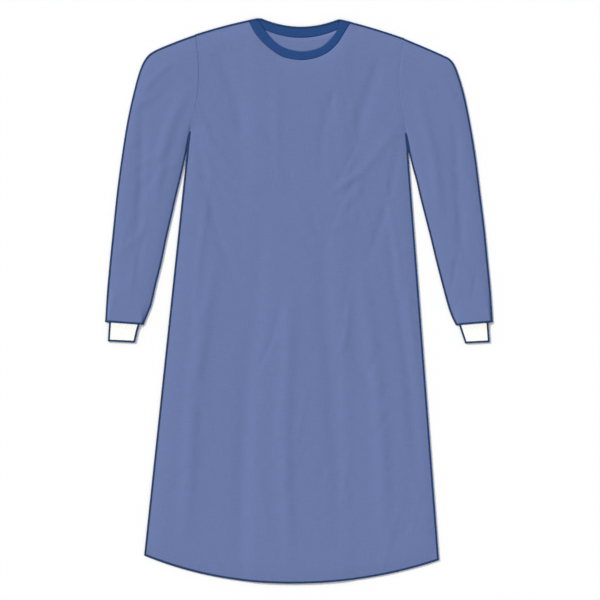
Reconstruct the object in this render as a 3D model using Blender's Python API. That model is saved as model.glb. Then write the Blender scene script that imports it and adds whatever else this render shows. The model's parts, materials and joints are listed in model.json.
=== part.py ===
# Surgical gown lying flat on its back, with its front up and its neck towards +Y.
# Left and right are the wearer's, so the left sleeve lies at +X.
# The tables are in millimetres: x from the centre line, and drop down from the neck points.
# Run it in Blender 4.5. It replaces the scene's objects with the gown's pieces.
import math
from collections import namedtuple

import bmesh
import bpy

MM = 0.001

# Cloth
CLOTH = 1.2            # thickness of the body cloth
SEAM = 0.3             # gap between pieces that are sewn together
LAYER = CLOTH + SEAM   # height from one layer of cloth to the next
LOFT = 2.5             # how far the front stands off the back, away from its edges
EDGE_RISE = 45.0       # distance from an edge over which it comes up to that height
BAND_CROWN = 0.6       # extra thickness along the middle of the front neck band

# Wrap of the back panels
FREE_EDGE = 91.0       # distance of each panel's free edge past the centre line
LAP_START = 95.0       # the doubled part of the back ends here
LAP_RISE = 38.0        # width over which a layer comes down beside it

# Outline of the body
SHOULDER_BOW = 2.2     # how far the shoulder seam bows up
ARMHOLE_BOW = 14.0     # how far the armhole seam bows in
HEM_LOW_X = -17.0      # lowest place of the hem
HEM_LOW = 1272.0
HEM_POWER = 2.1        # more than 2 makes the curve flatter in the middle

Half = namedtuple(
    "Half", "neck_x neck_drop shoulder_x shoulder_drop armpit_x armpit_drop hem_x hem_drop"
)
RIGHT = Half(-94, 1, -233, 37, -247.3, 255, -348.3, 1209)
LEFT = Half(93, 3.4, 237, 46, 242, 258, 314.6, 1219.3)

# Front neckline: the band's outer edge, sewn to the front, and its inner edge
NeckSection = namedtuple("NeckSection", "outer_x outer_drop inner_x inner_drop")
FRONT_NECK = (
    NeckSection(-114, 4.9, -94, 1),
    NeckSection(-99, 33, -79, 24),
    NeckSection(-81.5, 54.5, -62, 46),
    NeckSection(-59, 74, -44, 61),
    NeckSection(-34, 88.5, -24, 70.5),
    NeckSection(4, 95, 4, 75.5),
    NeckSection(36, 90.5, 30, 72.5),
    NeckSection(63, 79, 53, 64),
    NeckSection(86, 58.5, 72, 46.5),
    NeckSection(102, 33.5, 85, 28),
    NeckSection(117, 8.7, 93, 3.4),
)
NECK_STATIONS = 19     # sections along the front neckline

# Back neckline: both edges of its band are shallow bowls round one centre
BACK_NECK_X = 4.5
Bowl = namedtuple("Bowl", "low rise reach")
BACK_BAND_TOP = Bowl(19.9, 22.0, 96.5)
BACK_BAND_FOOT = Bowl(44.8, 18.8, 83.0)
BACK_NECK_RIGHT = -115.5   # where the back neckline meets the right shoulder seam
BACK_NECK_LEFT = 118.8     # and the left one
BACK_NECK_COLUMNS = (-91, -75, -55, -35, -15, 5, 25, 45, 62, 78, 91)

# Sleeves: the fold along the top and the seam under the arm
SleeveSection = namedtuple("SleeveSection", "fold_x fold_drop seam_x seam_drop")
RIGHT_SLEEVE = (
    SleeveSection(-233, 37, -247.3, 255),
    SleeveSection(-282, 55, -250.9, 282),
    SleeveSection(-325, 73.5, -255.6, 312),
    SleeveSection(-344, 89, -261.4, 339),
    SleeveSection(-358.5, 118, -267.5, 366),
    SleeveSection(-373.4, 172, -276.8, 404),
    SleeveSection(-387, 235, -287, 449),
    SleeveSection(-398.5, 307, -298, 496),
    SleeveSection(-409.5, 388, -309, 550),
    SleeveSection(-418.6, 474, -322, 602),
    SleeveSection(-426.8, 555, -331, 642),
    SleeveSection(-432.5, 618, -340, 666),
    SleeveSection(-436.5, 683.8, -349.5, 690),
)
LEFT_SLEEVE = (
    SleeveSection(237, 46, 242, 258),
    SleeveSection(280, 64, 245.2, 285),
    SleeveSection(321, 82, 250.1, 314),
    SleeveSection(341, 93, 256.6, 341),
    SleeveSection(354, 114, 264.2, 368),
    SleeveSection(371, 168, 273, 406),
    SleeveSection(384.2, 231, 284.5, 451),
    SleeveSection(397, 307, 296, 496),
    SleeveSection(407.3, 388, 309, 550),
    SleeveSection(418, 474, 322, 600),
    SleeveSection(426, 555, 335, 648),
    SleeveSection(432, 618, 344, 673),
    SleeveSection(436.5, 684.3, 353, 691),
)
SLEEVE_STATIONS = (0, 0.5, 1, 1.5, 2, 2.5, 3, 3.5, 4, 5, 6, 7, 8, 9, 10, 10.7, 11.3, 11.7, 12)
SLEEVE_ACROSS = (0, 0.05, 0.16, 0.36, 0.64, 0.84, 0.95, 1)   # points across its upper side
SLEEVE_LIP = 3.0       # width of the rounded edge, at the fold and at the seam
ARMHOLE_GAP = 0.4      # between sleeve and body, whose curved edges have different points
MOUTH_START = 10.0     # from this section the sleeve opens up to take the cuff
MOUTH_FULL = 11.7
MOUTH_LOFT = 1.15      # extra height there
MOUTH_RISE = 5.0       # and the shorter rise at its edges

# Cuffs: rib-knit tubes that start inside the sleeve's mouth
CUFF_HEIGHT = 3.3
RIB_DEPTH = 0.3
RIBS = 16              # ribs across the upper side
CUFF_LIP = 3.0
RIGHT_CUFF = (
    SleeveSection(-426.3, 674, -356, 678),
    SleeveSection(-427.2, 688.5, -359.6, 693),
    SleeveSection(-428, 700, -363, 704),
    SleeveSection(-429.5, 724, -368.2, 727),
    SleeveSection(-429.8, 729, -369.6, 731.5),
)
LEFT_CUFF = (
    SleeveSection(425, 672, 357.2, 679),
    SleeveSection(425.9, 687.5, 361.2, 694.5),
    SleeveSection(426.7, 699, 364.7, 705),
    SleeveSection(428.4, 723, 372.1, 728),
    SleeveSection(429, 731, 374.2, 734),
)
CUFF_LIFT = (LAYER, LAYER, 0, 0, 0)   # height of each section's underside

# Soft folds in the upper layer; a negative rise is a trough
Fold = namedtuple("Fold", "x drop end_x end_drop width rise")
FOLDS = (
    Fold(-190, 520, -268, 1190, 30, 1.0),
    Fold(-95, 430, -128, 1240, 34, -1.3),
    Fold(-18, 600, -30, 1245, 30, 1.1),
    Fold(62, 440, 84, 1215, 34, -1.2),
    Fold(138, 540, 205, 1200, 30, 1.0),
    Fold(205, 420, 268, 1080, 26, -1.1),
    Fold(-228, 248, -95, 405, 22, 1.0),
    Fold(226, 250, 88, 392, 22, 1.0),
    Fold(-172, 70, -128, 270, 26, -1.1),
    Fold(178, 82, 126, 300, 26, -1.1),
    Fold(-262, 150, -330, 430, 24, 1.0),
    Fold(268, 165, 322, 452, 24, 1.0),
    Fold(-345, 190, -372, 560, 18, -1.2),
    Fold(344, 210, 376, 570, 18, -1.2),
)

# Grids of the body panels
SIDE_FRACTIONS = (0, 0.03, 0.1, 0.24, 0.45, 0.7)   # columns from the side seam inwards
FRONT_ROWS = (9, 21)   # rows above and below the armpits
BACK_ROWS = (5, 12)

# Colours and finishes
BODY_BLUE = "6B79A6"
BAND_BLUE = "2B4C81"
CUFF_WHITE = "F4F5F1"
CLOTH_ROUGHNESS = 0.85
BAND_ROUGHNESS = 0.8
KNIT_ROUGHNESS = 0.95

MID_X = (RIGHT_SLEEVE[-1].fold_x + LEFT_SLEEVE[-1].fold_x) / 2
MID_DROP = (RIGHT.neck_drop + HEM_LOW) / 2


def blend(start, end, share):
    return start + (end - start) * share


def smooth(share):
    share = min(max(share, 0.0), 1.0)
    return share * share * (3 - 2 * share)


def along(sections, place):
    """A smooth section at any place between the rows of a table."""
    first = min(int(place), len(sections) - 2)
    share = place - first
    before = sections[max(first - 1, 0)]
    start = sections[first]
    end = sections[first + 1]
    after = sections[min(first + 2, len(sections) - 1)]
    values = []
    for p0, p1, p2, p3 in zip(before, start, end, after):
        slope = (p2 - p0) / 2
        next_slope = (p3 - p1) / 2
        rest = 3 * (p2 - p1) - 2 * slope - next_slope
        curl = 2 * (p1 - p2) + slope + next_slope
        values.append(p1 + slope * share + rest * share ** 2 + curl * share ** 3)
    return type(start)(*values)


# Outline of the body
def shoulder_drop(half, x):
    share = (x - half.neck_x) / (half.shoulder_x - half.neck_x)
    share = min(max(share, 0.0), 1.0)
    return blend(half.neck_drop, half.shoulder_drop, share) - SHOULDER_BOW * 4 * share * (1 - share)


def armhole_bow(half, share):
    """Sideways shift of the armhole seam, towards the centre line."""
    return math.copysign(ARMHOLE_BOW, -half.neck_x) * math.sin(math.pi * share)


def side_x(half, drop):
    if drop < half.armpit_drop:
        share = (drop - half.shoulder_drop) / (half.armpit_drop - half.shoulder_drop)
        share = max(share, 0.0)
        return blend(half.shoulder_x, half.armpit_x, share) + armhole_bow(half, share)
    share = (drop - half.armpit_drop) / (half.hem_drop - half.armpit_drop)
    return blend(half.armpit_x, half.hem_x, share)


def hem_drop(x):
    half = RIGHT if x < HEM_LOW_X else LEFT
    share = (x - HEM_LOW_X) / (half.hem_x - HEM_LOW_X)
    return HEM_LOW - (HEM_LOW - half.hem_drop) * share ** HEM_POWER


def armpit_level(x):
    share = (x - RIGHT.armpit_x) / (LEFT.armpit_x - RIGHT.armpit_x)
    return blend(RIGHT.armpit_drop, LEFT.armpit_drop, share)


def shoulders(x):
    return shoulder_drop(RIGHT if x < 0 else LEFT, x)


def bowl_drop(bowl, x):
    return bowl.low - bowl.rise * ((x - BACK_NECK_X) / bowl.reach) ** 2


def neck_level(x):
    """The straight line between the two neck points."""
    share = (x - RIGHT.neck_x) / (LEFT.neck_x - RIGHT.neck_x)
    return blend(RIGHT.neck_drop, LEFT.neck_drop, share)


def back_top(x):
    return max(shoulders(x), bowl_drop(BACK_BAND_FOOT, x))


def front_neck_sections():
    steps = NECK_STATIONS - 1
    return [along(FRONT_NECK, (len(FRONT_NECK) - 1) * step / steps) for step in range(NECK_STATIONS)]


NECK_LINE = front_neck_sections()


def front_top(x):
    for start, end in zip(NECK_LINE, NECK_LINE[1:]):
        if start.outer_x <= x <= end.outer_x:
            share = (x - start.outer_x) / (end.outer_x - start.outer_x)
            return blend(start.outer_drop, end.outer_drop, share)
    return shoulders(x)


# Heights of the layers
def lap(x):
    """1 over the doubled part of the back, and 0 away from it."""
    return 1 - smooth((abs(x) - LAP_START) / LAP_RISE)


def line_distance(x, drop, start, end):
    run_x = end[0] - start[0]
    run_drop = end[1] - start[1]
    share = ((x - start[0]) * run_x + (drop - start[1]) * run_drop) / (run_x ** 2 + run_drop ** 2)
    share = min(max(share, 0.0), 1.0)
    return math.hypot(x - start[0] - run_x * share, drop - start[1] - run_drop * share)


def edge_rise(distance, reach=EDGE_RISE):
    """0 at an edge, rising steeply and then levelling off at 1."""
    return 1 - (1 - min(max(distance / reach, 0.0), 1.0)) ** 2.5


def relief(x, drop):
    height = 0.0
    for fold in FOLDS:
        run_x = fold.end_x - fold.x
        run_drop = fold.end_drop - fold.drop
        length = math.hypot(run_x, run_drop)
        share = ((x - fold.x) * run_x + (drop - fold.drop) * run_drop) / length ** 2
        if 0 < share < 1:
            aside = ((x - fold.x) * run_drop - (drop - fold.drop) * run_x) / length
            height += fold.rise * (1 - (2 * share - 1) ** 4) * math.exp(-(aside / fold.width) ** 2)
    return height


def front_loft(x, drop):
    rise = edge_rise(hem_drop(x) - drop)
    for half in (RIGHT, LEFT):
        neck = (half.neck_x, half.neck_drop)
        shoulder = (half.shoulder_x, half.shoulder_drop)
        armpit = (half.armpit_x, half.armpit_drop)
        corner = (half.hem_x, half.hem_drop)
        rise *= edge_rise(line_distance(x, drop, neck, shoulder))
        rise *= edge_rise(line_distance(x, drop, armpit, corner))
    to_neck = EDGE_RISE
    for start, end in zip(FRONT_NECK, FRONT_NECK[1:]):
        line = ((start.outer_x, start.outer_drop), (end.outer_x, end.outer_drop))
        to_neck = min(to_neck, line_distance(x, drop, *line))
    return (LOFT + relief(x, drop)) * rise * edge_rise(to_neck)


def front_under(x, drop):
    return LAYER * (1 + lap(x)) + front_loft(x, drop)


def inner_back_under(x):
    return LAYER if x > 0 else LAYER * lap(x)


# Making solids
def to_world(x, drop, height):
    return ((x - MID_X) * MM, (MID_DROP - drop) * MM, height * MM)


def finish(name, mesh_data, material):
    bmesh.ops.recalc_face_normals(mesh_data, faces=mesh_data.faces)
    mesh = bpy.data.meshes.new(name)
    mesh_data.to_mesh(mesh)
    mesh_data.free()
    mesh.materials.append(material)
    piece = bpy.data.objects.new(name, mesh)
    bpy.context.scene.collection.objects.link(piece)
    mesh.shade_smooth()
    mesh.set_sharp_from_angle(angle=math.radians(40))
    return piece


def sheet(name, grid, thickness, material):
    """A wall of cloth over a grid of points on its underside, row by row."""
    columns = len(grid[0])
    cloth = bmesh.new()
    bmesh.ops.create_grid(cloth, x_segments=columns - 1, y_segments=len(grid) - 1, size=1)
    order = cloth.verts.layers.int.new("order")
    points = [point for row in grid for point in row]
    for index, (vert, point) in enumerate(zip(cloth.verts, points)):
        vert.co = to_world(*point)
        vert[order] = index
    raised = bmesh.ops.extrude_face_region(cloth, geom=cloth.faces[:])
    for item in raised["geom"]:
        if isinstance(item, bmesh.types.BMVert):
            item.co.z += thickness(*divmod(item[order], columns)) * MM
    cloth.verts.layers.int.remove(order)
    return finish(name, cloth, material)


def tube(name, outside, inside, material):
    """A wall of cloth between two skins, each a list of rings of points."""
    loops = outside + inside[::-1] + outside[:1]
    around = len(outside[0])
    cloth = bmesh.new()
    bmesh.ops.create_grid(cloth, x_segments=around, y_segments=len(loops) - 1, size=1)
    points = [point for ring in loops for point in ring + ring[:1]]
    for vert, point in zip(cloth.verts, points):
        vert.co = to_world(*point)
    bmesh.ops.remove_doubles(cloth, verts=cloth.verts, dist=0.00001)
    return finish(name, cloth, material)


# Body panels
def side_columns(half, inner_x, fractions=SIDE_FRACTIONS):
    def column(share):
        return lambda drop: blend(side_x(half, drop), inner_x, share)
    return [column(share) for share in fractions]


def fixed_columns(places):
    def column(x):
        return lambda drop: x
    return [column(x) for x in places]


def panel_grid(columns, rows, top, under):
    """Points from the top edge through the level of the armpits to the hem."""
    above, below = rows
    lines = []
    for column in columns:
        start = RIGHT.shoulder_drop
        for _ in range(8):
            start = top(column(start))
        middle = armpit_level(column(RIGHT.armpit_drop))
        end = hem_drop(column(RIGHT.hem_drop))
        drops = [blend(start, middle, step / above) for step in range(above)]
        drops += [blend(middle, end, step / below) for step in range(below + 1)]
        points = [(column(drop), drop) for drop in drops]
        lines.append([(x, drop, under(x, drop)) for x, drop in points])
    return [list(row) for row in zip(*lines)]


def even(row, column):
    return CLOTH


def make_front(material):
    neck = [section.outer_x for section in NECK_LINE]
    lap_end = LAP_START + LAP_RISE
    columns = side_columns(RIGHT, -lap_end) + fixed_columns([-lap_end] + neck + [lap_end])
    columns += side_columns(LEFT, lap_end)[::-1]
    sheet("front", panel_grid(columns, FRONT_ROWS, front_top, front_under), even, material)


def make_back_right(material):
    lap_end = LAP_START + LAP_RISE
    fixed = (-lap_end, -124, BACK_NECK_RIGHT, -105, -LAP_START) + BACK_NECK_COLUMNS
    columns = side_columns(RIGHT, -lap_end) + fixed_columns(fixed)
    grid = panel_grid(columns, BACK_ROWS, back_top, lambda x, drop: inner_back_under(x))
    sheet("back_right", grid, even, material)


def make_back_left(material):
    fixed = BACK_NECK_COLUMNS + (LAP_START, 107, BACK_NECK_LEFT, LAP_START + LAP_RISE)
    columns = fixed_columns(fixed) + side_columns(LEFT, LAP_START + LAP_RISE)[::-1]
    grid = panel_grid(columns, BACK_ROWS, back_top, lambda x, drop: 0.0)
    sheet("back_left", grid, even, material)


# Neck bands
def make_front_band(material):
    across = 5
    rows = []
    for step in range(across):
        row = []
        for section in NECK_LINE:
            width = math.hypot(
                section.inner_x - section.outer_x, section.inner_drop - section.outer_drop
            )
            share = blend(SEAM / width, 1, step / (across - 1))
            x = blend(section.outer_x, section.inner_x, share)
            drop = blend(section.outer_drop, section.inner_drop, share)
            row.append((x, drop, LAYER * (1 + lap(x))))
        rows.append(row)

    def crowned(row, column):
        return CLOTH + BAND_CROWN * math.sin(math.pi * row / (across - 1))
    sheet("neck_band_front", rows, crowned, material)


def make_back_band(name, foot_places, top_start, top_end, under, material):
    span = foot_places[-1] - foot_places[0]
    rows = []
    for share in (0, 0.5, 1):
        row = []
        for foot_x in foot_places:
            top_x = blend(top_start, top_end, (foot_x - foot_places[0]) / span)
            x = blend(foot_x, top_x, share)
            foot = bowl_drop(BACK_BAND_FOOT, foot_x) - SEAM
            top = max(bowl_drop(BACK_BAND_TOP, top_x), neck_level(top_x))
            drop = blend(foot, top, share)
            row.append((x, drop, under(x)))
        rows.append(row)
    sheet(name, rows, even, material)


# Sleeves
def across_section(section, distance, height, lift=0.0):
    """A point at a distance from the fold, towards the seam."""
    share = distance / section_width(section)
    x = blend(section.fold_x, section.seam_x, share)
    drop = blend(section.fold_drop, section.seam_drop, share)
    return (x, drop, height + lift)


def section_width(section):
    return math.hypot(section.seam_x - section.fold_x, section.seam_drop - section.fold_drop)


def sleeve_loft(section, distance, place):
    """Height of the upper side over the lower one, beyond the seam's own thickness."""
    mouth = smooth((place - MOUTH_START) / (MOUTH_FULL - MOUTH_START))
    reach = blend(EDGE_RISE, MOUTH_RISE, mouth)
    x, drop, _ = across_section(section, distance, 0)
    full = LOFT + MOUTH_LOFT * mouth + relief(x, drop) * (1 - mouth)
    return full * edge_rise(distance, reach) * edge_rise(section_width(section) - distance, reach)


def sleeve_ring(section, place, inner):
    """Points round one section: fold, upper side, seam, lower side."""
    width = section_width(section)
    wall = CLOTH if inner else 0.0
    edge = wall * 1.6
    lip = SLEEVE_LIP + wall * 0.5
    seam_middle = LAYER - SEAM / 2
    shoulder = blend(seam_middle, LAYER if inner else LAYER + CLOTH, 0.8)
    ring = [(edge, seam_middle), (edge + 0.7, shoulder)]
    for share in SLEEVE_ACROSS:
        distance = blend(lip, width - lip, share)
        ring.append((distance, LAYER + CLOTH - wall + sleeve_loft(section, distance, place)))
    ring += [(width - edge - 0.7, shoulder), (width - edge, seam_middle)]
    ring += [(width - edge - 1.6, wall), (width * 0.64, wall), (width * 0.36, wall), (edge + 1.6, wall)]
    return ring


def make_sleeve(name, table, half, material):
    skins = {False: [], True: []}
    for place in SLEEVE_STATIONS:
        section = along(table, place)
        fade = max(1 - place / 2, 0.0) ** 2
        width = section_width(section)
        for inner, skin in skins.items():
            points = []
            for distance, height in sleeve_ring(section, place, inner):
                x, drop, height = across_section(section, distance, height)
                x += armhole_bow(half, distance / width) * fade
                x += math.copysign(ARMHOLE_GAP, half.armpit_x) * fade
                points.append((x, drop, height))
            skin.append(points)
    tube(name, skins[False], skins[True], material)


# Cuffs
def cuff_ring(section, lift, inner):
    width = section_width(section)
    wall = CLOTH if inner else 0.0
    edge = wall * 1.6
    lip = CUFF_LIP + wall * 0.5
    middle = CUFF_HEIGHT / 2
    ring = [(edge, middle)]
    for step in range(2 * RIBS + 1):
        valley = step % 2 or inner
        top = CUFF_HEIGHT - wall - (RIB_DEPTH if valley else 0.0)
        ring.append((blend(lip, width - lip, step / (2 * RIBS)), top))
    ring += [(width - edge, middle), (width - edge - 1.6, wall)]
    ring += [(width * 0.64, wall), (width * 0.36, wall), (edge + 1.6, wall)]
    return [across_section(section, distance, height, lift) for distance, height in ring]


def make_cuff(name, table, material):
    outside = [cuff_ring(section, lift, False) for section, lift in zip(table, CUFF_LIFT)]
    inside = [cuff_ring(section, lift, True) for section, lift in zip(table, CUFF_LIFT)]
    tube(name, outside, inside, material)


# Materials
def linear(channel):
    if channel <= 0.04045:
        return channel / 12.92
    return ((channel + 0.055) / 1.055) ** 2.4


def make_material(name, hex_colour, roughness):
    material = bpy.data.materials.new(name)
    material.use_nodes = True
    shader = material.node_tree.nodes["Principled BSDF"]
    channels = [linear(int(hex_colour[start:start + 2], 16) / 255) for start in (0, 2, 4)]
    shader.inputs["Base Color"].default_value = (*channels, 1)
    shader.inputs["Roughness"].default_value = roughness
    shader.inputs["Metallic"].default_value = 0.0
    return material


def make_gown():
    for old in list(bpy.data.objects):
        bpy.data.objects.remove(old, do_unlink=True)
    body = make_material("body_cloth", BODY_BLUE, CLOTH_ROUGHNESS)
    band = make_material("neck_band_cloth", BAND_BLUE, BAND_ROUGHNESS)
    knit = make_material("cuff_knit", CUFF_WHITE, KNIT_ROUGHNESS)
    make_back_left(body)
    make_back_right(body)
    make_front(body)
    make_sleeve("sleeve_right", RIGHT_SLEEVE, RIGHT, body)
    make_sleeve("sleeve_left", LEFT_SLEEVE, LEFT, body)
    make_cuff("cuff_right", RIGHT_CUFF, knit)
    make_cuff("cuff_left", LEFT_CUFF, knit)
    make_front_band(band)
    right_places = (BACK_NECK_RIGHT, -105, -LAP_START) + BACK_NECK_COLUMNS
    left_places = BACK_NECK_COLUMNS + (LAP_START, 107, BACK_NECK_LEFT)
    make_back_band(
        "neck_band_back_right", right_places, RIGHT.neck_x, FREE_EDGE, inner_back_under, band
    )
    make_back_band(
        "neck_band_back_left", left_places, -FREE_EDGE, LEFT.neck_x, lambda x: 0.0, band
    )


make_gown()
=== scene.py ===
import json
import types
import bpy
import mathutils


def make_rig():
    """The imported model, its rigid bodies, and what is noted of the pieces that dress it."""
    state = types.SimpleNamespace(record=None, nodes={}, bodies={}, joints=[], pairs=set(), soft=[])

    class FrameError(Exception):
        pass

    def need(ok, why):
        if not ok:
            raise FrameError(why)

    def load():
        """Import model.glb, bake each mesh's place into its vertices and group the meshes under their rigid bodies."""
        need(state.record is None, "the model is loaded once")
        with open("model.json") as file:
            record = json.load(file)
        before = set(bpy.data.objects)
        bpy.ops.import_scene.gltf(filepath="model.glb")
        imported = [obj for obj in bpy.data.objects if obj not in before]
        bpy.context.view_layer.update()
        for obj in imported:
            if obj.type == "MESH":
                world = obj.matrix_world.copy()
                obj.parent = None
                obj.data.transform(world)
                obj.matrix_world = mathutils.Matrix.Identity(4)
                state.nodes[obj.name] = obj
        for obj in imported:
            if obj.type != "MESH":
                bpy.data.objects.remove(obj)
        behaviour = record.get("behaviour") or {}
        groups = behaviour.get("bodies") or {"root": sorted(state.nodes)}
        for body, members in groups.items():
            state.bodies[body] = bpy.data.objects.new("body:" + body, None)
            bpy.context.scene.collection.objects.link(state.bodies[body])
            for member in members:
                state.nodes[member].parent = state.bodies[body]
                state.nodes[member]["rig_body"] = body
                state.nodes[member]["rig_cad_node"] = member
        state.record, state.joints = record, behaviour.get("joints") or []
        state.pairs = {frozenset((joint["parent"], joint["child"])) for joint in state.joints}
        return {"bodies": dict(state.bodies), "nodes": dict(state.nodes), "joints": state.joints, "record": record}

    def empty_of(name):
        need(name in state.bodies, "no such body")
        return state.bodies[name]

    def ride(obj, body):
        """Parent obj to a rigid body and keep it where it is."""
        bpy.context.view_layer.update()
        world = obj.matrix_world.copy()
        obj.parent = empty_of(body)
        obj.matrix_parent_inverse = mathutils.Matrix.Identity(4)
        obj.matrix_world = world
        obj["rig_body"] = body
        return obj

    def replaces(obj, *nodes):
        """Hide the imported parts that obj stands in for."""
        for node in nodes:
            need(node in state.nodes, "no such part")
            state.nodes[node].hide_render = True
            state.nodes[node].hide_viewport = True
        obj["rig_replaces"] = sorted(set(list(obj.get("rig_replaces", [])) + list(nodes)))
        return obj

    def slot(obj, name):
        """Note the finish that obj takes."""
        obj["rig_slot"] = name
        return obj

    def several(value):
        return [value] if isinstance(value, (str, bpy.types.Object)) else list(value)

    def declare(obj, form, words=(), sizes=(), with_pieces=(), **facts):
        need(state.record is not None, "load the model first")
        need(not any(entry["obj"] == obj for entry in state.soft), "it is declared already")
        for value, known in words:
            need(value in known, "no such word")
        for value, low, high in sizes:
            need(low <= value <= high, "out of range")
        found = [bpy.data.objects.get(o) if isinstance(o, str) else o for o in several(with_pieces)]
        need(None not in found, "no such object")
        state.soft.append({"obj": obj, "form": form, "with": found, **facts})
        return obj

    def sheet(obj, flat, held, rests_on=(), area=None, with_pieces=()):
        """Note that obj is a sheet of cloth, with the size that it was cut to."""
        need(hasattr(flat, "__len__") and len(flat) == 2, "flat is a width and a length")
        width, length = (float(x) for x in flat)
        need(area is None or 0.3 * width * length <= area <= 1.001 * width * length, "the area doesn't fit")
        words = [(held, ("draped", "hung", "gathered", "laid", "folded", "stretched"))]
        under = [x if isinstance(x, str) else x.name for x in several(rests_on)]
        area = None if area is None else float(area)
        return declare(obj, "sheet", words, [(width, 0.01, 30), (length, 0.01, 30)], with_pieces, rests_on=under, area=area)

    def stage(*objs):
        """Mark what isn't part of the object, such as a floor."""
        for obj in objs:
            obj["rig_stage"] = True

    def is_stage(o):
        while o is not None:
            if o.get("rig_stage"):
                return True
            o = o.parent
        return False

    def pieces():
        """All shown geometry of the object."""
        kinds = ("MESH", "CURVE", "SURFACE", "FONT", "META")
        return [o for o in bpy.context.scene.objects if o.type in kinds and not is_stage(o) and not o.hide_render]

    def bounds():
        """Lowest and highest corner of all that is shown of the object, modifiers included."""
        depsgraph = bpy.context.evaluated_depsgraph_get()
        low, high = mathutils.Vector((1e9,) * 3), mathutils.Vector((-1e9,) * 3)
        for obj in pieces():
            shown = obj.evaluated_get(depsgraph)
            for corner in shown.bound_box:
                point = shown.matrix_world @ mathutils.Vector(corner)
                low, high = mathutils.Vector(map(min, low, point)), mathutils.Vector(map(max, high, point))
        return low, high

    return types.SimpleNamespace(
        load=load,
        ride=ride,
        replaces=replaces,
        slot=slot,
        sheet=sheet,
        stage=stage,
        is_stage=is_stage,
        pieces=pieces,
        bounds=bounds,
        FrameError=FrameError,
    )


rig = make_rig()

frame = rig.load()
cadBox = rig.bounds()

import json
import math
import random

import bmesh
import bpy
import numpy as np
from mathutils import Matrix, Vector
from mathutils.bvhtree import BVHTree

# Surgical gown laid flat with its front up and its neck towards +Y.
# Sizes are in millimetres: x from the centre line, drop down from the neck points, z up.
# Left and right are the wearer's, so the left sleeve lies at +X.
mm = 0.001
bodyName = "root"

gown = {
    "midDrop": 636.5,  # halfway down the gown, where the frame's origin is
    "wall": 1.2,  # room that each layer of cloth has
    "layer": 1.5,  # from one layer to the next
    "cloth": 0.8,  # the cloth as it shows
    "loft": 2.5,  # how far the front stands off the back
    "edgeRise": 45.0,  # how far from an edge it reaches its height
    "edgePower": 2.5,  # how steeply it rises there
    "neckReach": (180.0, 160.0),  # x and drop within which the neck band holds it down
    "lapStart": 95.0,  # the back is doubled inside this
    "lapRise": 38.0,
    "freeEdge": 91.0,  # of each back panel, past the centre
    "shoulderBow": 2.2,
    "armholeBow": 14.0,
    "hemLowX": -17.0,
    "hemLow": 1272.0,
    "hemPower": 2.1,
}
rightHalf = {
    "neck": (-94, 1), "shoulder": (-233, 37), "armpit": (-247.3, 255), "corner": (-348.3, 1209),
}
leftHalf = {
    "neck": (93, 3.4), "shoulder": (237, 46), "armpit": (242, 258), "corner": (314.6, 1219.3),
}
halves = (rightHalf, leftHalf)


# small helpers
def mix(a, b, t):
    return a + (b - a) * t


def clamp(t):
    return min(max(t, 0.0), 1.0)


def ease(t):
    t = clamp(t)
    return t * t * (3 - 2 * t)


def world(x, drop, z):
    return Vector((x * mm, (gown["midDrop"] - drop) * mm, z * mm))


def smoothRow(rows, place):  # a smooth row between the rows of a table
    first = min(int(place), len(rows) - 2)
    t = place - first
    picks = [rows[min(max(first + k, 0), len(rows) - 1)] for k in (-1, 0, 1, 2)]
    row = []
    for p0, p1, p2, p3 in zip(*picks):
        a, b = (p2 - p0) / 2, (p3 - p1) / 2
        bend = 3 * (p2 - p1) - 2 * a - b
        curl = 2 * (p1 - p2) + a + b
        row.append(p1 + a * t + bend * t * t + curl * t ** 3)
    return row


def steps(start, end, count):
    return [mix(start, end, k / count) for k in range(count + 1)]


# camera, straight down as in the picture
cameraSetup = {
    "viewWidth": 1350.0,  # width of floor that the picture takes in
    "height": 6000.0,
    "lookAt": (2.25, 634.45),
    "sensor": 36.0,
    "farthest": 50.0,  # metres that it sees
}


def placeCamera():
    data = bpy.data.cameras.new("camera")
    data.sensor_width = cameraSetup["sensor"]
    data.lens = cameraSetup["sensor"] * cameraSetup["height"] / cameraSetup["viewWidth"]
    data.clip_end = cameraSetup["farthest"]
    camera = bpy.data.objects.new("camera", data)
    camera.location = world(*cameraSetup["lookAt"], cameraSetup["height"])
    bpy.context.scene.collection.objects.link(camera)
    bpy.context.scene.camera = camera


placeCamera()
print("camera placed")


# outline of the body
def shoulderDrop(half, x):
    (nx, nd), (sx, sd) = half["neck"], half["shoulder"]
    t = clamp((x - nx) / (sx - nx))
    return mix(nd, sd, t) - gown["shoulderBow"] * 4 * t * (1 - t)


def armholeBow(half, t):
    return math.copysign(gown["armholeBow"], -half["neck"][0]) * math.sin(math.pi * t)


def sideX(half, drop):
    (sx, sd), (ax, ad), (cx, cd) = half["shoulder"], half["armpit"], half["corner"]
    if drop < ad:
        t = clamp((drop - sd) / (ad - sd))
        return mix(sx, ax, t) + armholeBow(half, t)
    return mix(ax, cx, (drop - ad) / (cd - ad))


def hemDrop(x):
    cx, cd = (rightHalf if x < gown["hemLowX"] else leftHalf)["corner"]
    t = clamp((x - gown["hemLowX"]) / (cx - gown["hemLowX"]))
    return gown["hemLow"] - (gown["hemLow"] - cd) * t ** gown["hemPower"]


def armpitDrop(x):
    (rx, rd), (lx, ld) = rightHalf["armpit"], leftHalf["armpit"]
    return mix(rd, ld, (x - rx) / (lx - rx))


def neckLevel(x):
    (rx, rd), (lx, ld) = rightHalf["neck"], leftHalf["neck"]
    return mix(rd, ld, (x - rx) / (lx - rx))


def shoulders(x):
    return shoulderDrop(rightHalf if x < 0 else leftHalf, x)


def lap(x):  # 1 where the back is doubled
    return 1 - ease((abs(x) - gown["lapStart"]) / gown["lapRise"])


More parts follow.
